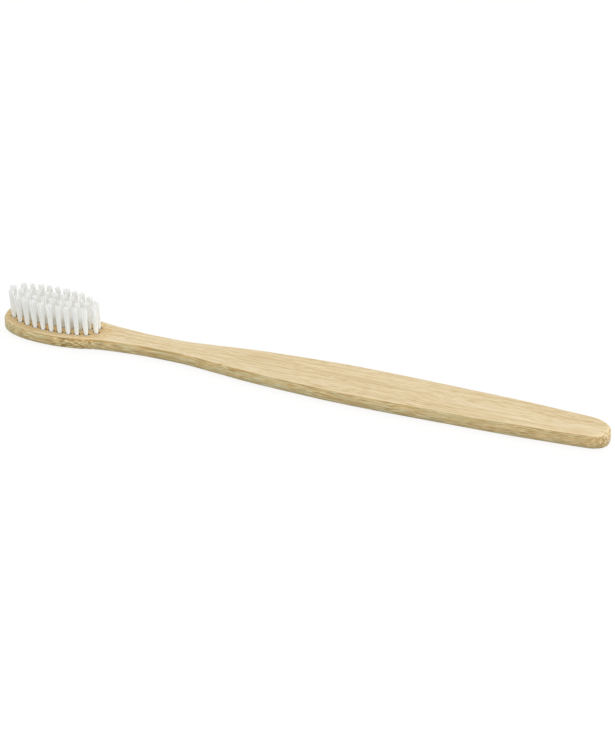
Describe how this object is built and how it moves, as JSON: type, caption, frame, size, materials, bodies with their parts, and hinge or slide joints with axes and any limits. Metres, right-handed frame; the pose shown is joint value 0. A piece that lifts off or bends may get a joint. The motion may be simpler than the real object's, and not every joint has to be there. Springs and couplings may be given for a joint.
{
  "type": "manual toothbrush",
  "caption": "Manual toothbrush with a flat, waisted bamboo handle and an oval field of upright nylon tufts, each folded into a blind hole in the head over a small metal anchor.",
  "frame": {"origin": "on the flat underside, halfway along the brush and midway across it", "axes": "+X along the brush from the head to the tail, +Y across the brush, +Z out of the underside towards the bristle tips"},
  "size_m": [0.188, 0.0136, 0.0137],
  "materials": {
    "bamboo": "sanded smooth, unvarnished, with fine straight grain",
    "nylon": "milky white, slightly see-through filaments",
    "anchor_metal": "bright cut sheet"
  },
  "bodies": {
    "root": {"handle": "bamboo", "tuft_c01_r1": "nylon", "tuft_c01_r2": "nylon", "tuft_c02_r1": "nylon", "tuft_c02_r2": "nylon", "tuft_c02_r3": "nylon", "tuft_c03_r1": "nylon", "tuft_c03_r2": "nylon", "tuft_c03_r3": "nylon", "tuft_c03_r4": "nylon", "tuft_c04_r1": "nylon", "tuft_c04_r2": "nylon", "tuft_c04_r3": "nylon", "tuft_c04_r4": "nylon", "tuft_c05_r1": "nylon", "tuft_c05_r2": "nylon", "tuft_c05_r3": "nylon", "tuft_c05_r4": "nylon", "tuft_c06_r1": "nylon", "tuft_c06_r2": "nylon", "tuft_c06_r3": "nylon", "tuft_c06_r4": "nylon", "tuft_c07_r1": "nylon", "tuft_c07_r2": "nylon", "tuft_c07_r3": "nylon", "tuft_c07_r4": "nylon", "tuft_c08_r1": "nylon", "tuft_c08_r2": "nylon", "tuft_c08_r3": "nylon", "tuft_c08_r4": "nylon", "tuft_c09_r1": "nylon", "tuft_c09_r2": "nylon", "tuft_c09_r3": "nylon", "tuft_c09_r4": "nylon", "tuft_c10_r1": "nylon", "tuft_c10_r2": "nylon", "tuft_c10_r3": "nylon", "tuft_c11_r1": "nylon", "tuft_c11_r2": "nylon", "anchors": "anchor_metal"}
  },
  "joints": []
}
